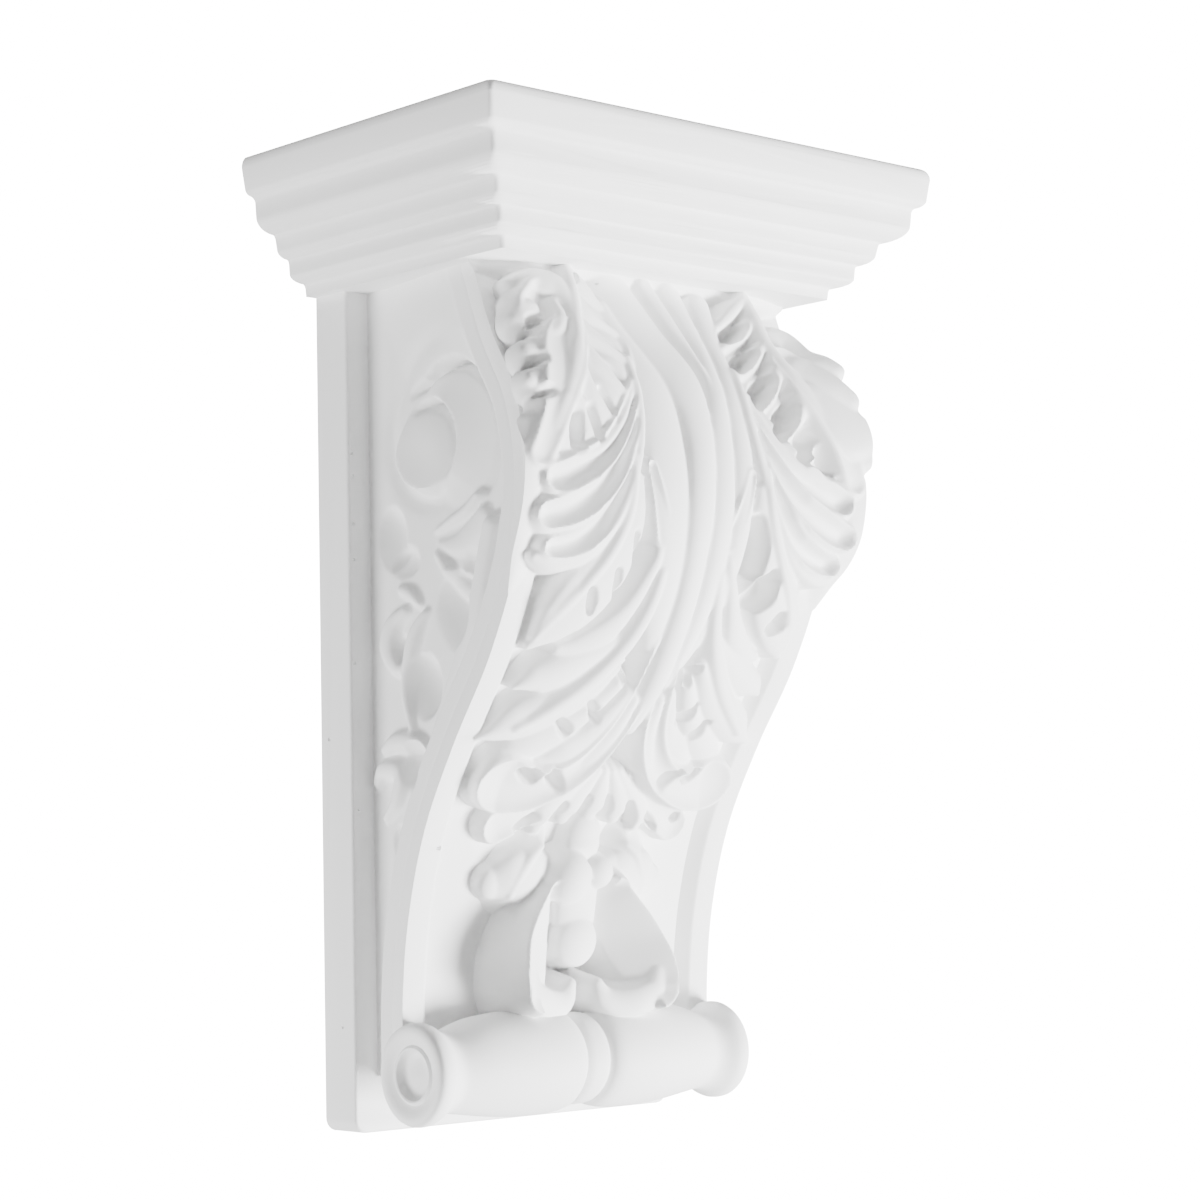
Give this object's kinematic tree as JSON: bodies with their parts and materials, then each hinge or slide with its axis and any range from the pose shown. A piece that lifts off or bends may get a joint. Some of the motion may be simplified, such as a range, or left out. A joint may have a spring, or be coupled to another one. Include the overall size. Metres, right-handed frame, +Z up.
{
  "type": "carved corbel",
  "caption": "Cast plaster corbel: stepped crown moulding, S-shaped body with acanthus carving, scrolled cheeks and a turned roll at the foot.",
  "frame": {"origin": "middle of the flat back face, which lies on the wall", "axes": "+Z up the wall, +Y into the wall, so the corbel stands out towards -Y, +X to the right seen from the front"},
  "size_m": [0.186, 0.119, 0.3],
  "materials": {
    "plaster": "matt white cast plaster, bare, with small casting pinholes"
  },
  "bodies": {
    "root": {"corbel": "plaster"}
  },
  "joints": []
}
